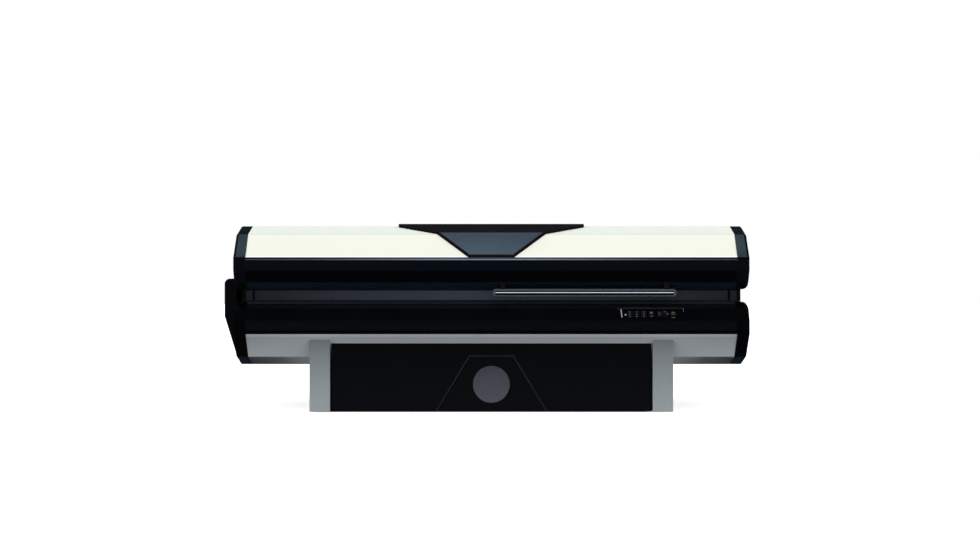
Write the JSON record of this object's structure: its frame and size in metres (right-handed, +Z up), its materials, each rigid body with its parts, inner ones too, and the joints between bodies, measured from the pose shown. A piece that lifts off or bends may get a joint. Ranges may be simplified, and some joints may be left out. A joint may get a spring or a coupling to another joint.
{
  "type": "red light therapy bed",
  "caption": "Clamshell light bed: a dished acrylic lying tub on two saddle legs under a hinged arched canopy, with gas struts, handle bar, key panel and end fan housing.",
  "frame": {"origin": "on the floor, under the middle of the whole object with its canopy closed", "axes": "+X along the length, towards the end without the fan housing; -Y is the front with the handle and controls; +Z up"},
  "size_m": [2.371, 1.1025, 0.852],
  "materials": {
    "white_shell": "gloss sprayed ABS",
    "black_band": "gloss black ABS",
    "cap_black": "gloss blue-black ABS",
    "silver_shell": "metallic silver ABS",
    "leg_silver": "silver sprayed sheet steel",
    "base_black": "satin black panel",
    "steel_frame": "powder coated steel",
    "clear_acrylic": "polished acrylic",
    "lamp_board": "white circuit board",
    "bare_aluminium": "extruded",
    "chrome_bar": "polished",
    "zinc_steel": "zinc plated",
    "rubber": "moulded",
    "panel_glass": "gloss panel film",
    "circuit_green": "circuit board",
    "medallion_black": "gloss black",
    "inlay_gray": "blue-gray metallic",
    "badge_black": "gloss black-brown",
    "waist_gray": "satin gray",
    "strip_gray": "satin metallic strip",
    "inner_white": "satin white",
    "fan_black": "glass filled nylon"
  },
  "bodies": {
    "tub_and_base": {"base_frame": "steel_frame", "left_leg": "leg_silver", "right_leg": "leg_silver", "base_front_panel": "base_black", "base_rear_panel": "base_black", "base_medallion": "medallion_black", "foot_pads": "rubber", "power_supplies": "bare_aluminium", "mains_inlet": "fan_black", "leg_bolts": "zinc_steel", "tub_under_shell": "silver_shell", "tub_front_band": "black_band", "tub_rear_band": "black_band", "tub_end_cap_left": "cap_black", "tub_end_cap_right": "cap_black", "tub_frame": "steel_frame", "bed_sheet": "clear_acrylic", "bed_lamp_boards": "lamp_board", "bed_heat_sinks": "bare_aluminium", "bed_end_walls": "inner_white", "control_bezel": "panel_glass", "control_board": "circuit_green", "fan_housing": "cap_black", "fan_guards": "chrome_bar", "fan_frames": "fan_black", "hinge_tub_leaves": "zinc_steel", "hinge_pins": "zinc_steel", "closing_bumpers": "rubber"},
    "canopy": {"canopy_frame": "steel_frame", "waist_skirt": "base_black", "waist_panel": "waist_gray", "canopy_front_panel": "white_shell", "canopy_top_panel": "white_shell", "canopy_rear_panel": "white_shell", "canopy_front_band": "black_band", "canopy_rear_band": "black_band", "canopy_trim_strips": "strip_gray", "canopy_end_cap_left": "cap_black", "canopy_end_cap_right": "cap_black", "badge_plate": "badge_black", "badge_inlay": "inlay_gray", "canopy_sheet": "clear_acrylic", "canopy_lamp_boards": "lamp_board", "canopy_heat_sinks": "bare_aluminium", "canopy_end_walls": "inner_white", "handle_bar": "chrome_bar", "handle_brackets": "zinc_steel", "hinge_canopy_leaves": "zinc_steel"},
    "level_key_1": {"level_key_1": "panel_glass"},
    "level_key_2": {"level_key_2": "panel_glass"},
    "level_key_3": {"level_key_3": "panel_glass"},
    "timer_key": {"timer_key": "panel_glass"},
    "session_key": {"session_key": "panel_glass"},
    "power_key": {"power_key": "panel_glass"},
    "fan_rotor_front": {"fan_rotor_front": "fan_black"},
    "fan_rotor_rear": {"fan_rotor_rear": "fan_black"},
    "strut_cylinder_left": {"strut_cylinder_left": "fan_black"},
    "strut_cylinder_right": {"strut_cylinder_right": "fan_black"},
    "strut_rod_left": {"strut_rod_left": "chrome_bar"},
    "strut_rod_right": {"strut_rod_right": "chrome_bar"}
  },
  "joints": [
    {"name": "canopy_hinge", "type": "hinge", "parent": "tub_and_base", "child": "canopy", "pos_m": [0.0305, 0.5, 0.52], "axis": [-1, 0, 0], "range_deg": [0, 50]},
    {"name": "strut_cylinder_left_pivot", "type": "hinge", "parent": "tub_and_base", "child": "strut_cylinder_left", "pos_m": [-1.0725, 0.31615, 0.36573], "axis": [-1, 0, 0], "range_deg": [0, 25]},
    {"name": "strut_rod_left_pivot", "type": "hinge", "parent": "canopy", "child": "strut_rod_left", "pos_m": [-1.0725, 0.31615, 0.67427], "axis": [-1, 0, 0], "range_deg": [-25, 0]},
    {"name": "strut_cylinder_right_pivot", "type": "hinge", "parent": "tub_and_base", "child": "strut_cylinder_right", "pos_m": [1.1335, 0.31615, 0.36573], "axis": [-1, 0, 0], "range_deg": [0, 25]},
    {"name": "strut_rod_right_pivot", "type": "hinge", "parent": "canopy", "child": "strut_rod_right", "pos_m": [1.1335, 0.31615, 0.67427], "axis": [-1, 0, 0], "range_deg": [-25, 0]},
    {"name": "level_key_1_press", "type": "slide", "parent": "tub_and_base", "child": "level_key_1", "axis": [0, 0.8321, -0.5547], "range_m": [0, 0.0008], "stiffness_N_per_m": 1200},
    {"name": "level_key_2_press", "type": "slide", "parent": "tub_and_base", "child": "level_key_2", "axis": [0, 0.8321, -0.5547], "range_m": [0, 0.0008], "stiffness_N_per_m": 1200},
    {"name": "level_key_3_press", "type": "slide", "parent": "tub_and_base", "child": "level_key_3", "axis": [0, 0.8321, -0.5547], "range_m": [0, 0.0008], "stiffness_N_per_m": 1200},
    {"name": "timer_key_press", "type": "slide", "parent": "tub_and_base", "child": "timer_key", "axis": [0, 0.8321, -0.5547], "range_m": [0, 0.0008], "stiffness_N_per_m": 1200},
    {"name": "session_key_press", "type": "slide", "parent": "tub_and_base", "child": "session_key", "axis": [0, 0.8321, -0.5547], "range_m": [0, 0.0008], "stiffness_N_per_m": 1200},
    {"name": "power_key_press", "type": "slide", "parent": "tub_and_base", "child": "power_key", "axis": [0, 0.8321, -0.5547], "range_m": [0, 0.0008], "stiffness_N_per_m": 1200},
    {"name": "fan_rotor_front_spin", "type": "hinge", "parent": "tub_and_base", "child": "fan_rotor_front", "pos_m": [-1.183, -0.2, 0.503], "axis": [1, 0, 0], "continuous": true},
    {"name": "fan_rotor_rear_spin", "type": "hinge", "parent": "tub_and_base", "child": "fan_rotor_rear", "pos_m": [-1.183, 0.2, 0.503], "axis": [1, 0, 0], "continuous": true}
  ],
  "couplings": [
    {"joint": "strut_cylinder_left_pivot", "follows": "canopy_hinge", "ratio": 0.5},
    {"joint": "strut_rod_left_pivot", "follows": "canopy_hinge", "ratio": -0.5},
    {"joint": "strut_cylinder_right_pivot", "follows": "canopy_hinge", "ratio": 0.5},
    {"joint": "strut_rod_right_pivot", "follows": "canopy_hinge", "ratio": -0.5}
  ]
}
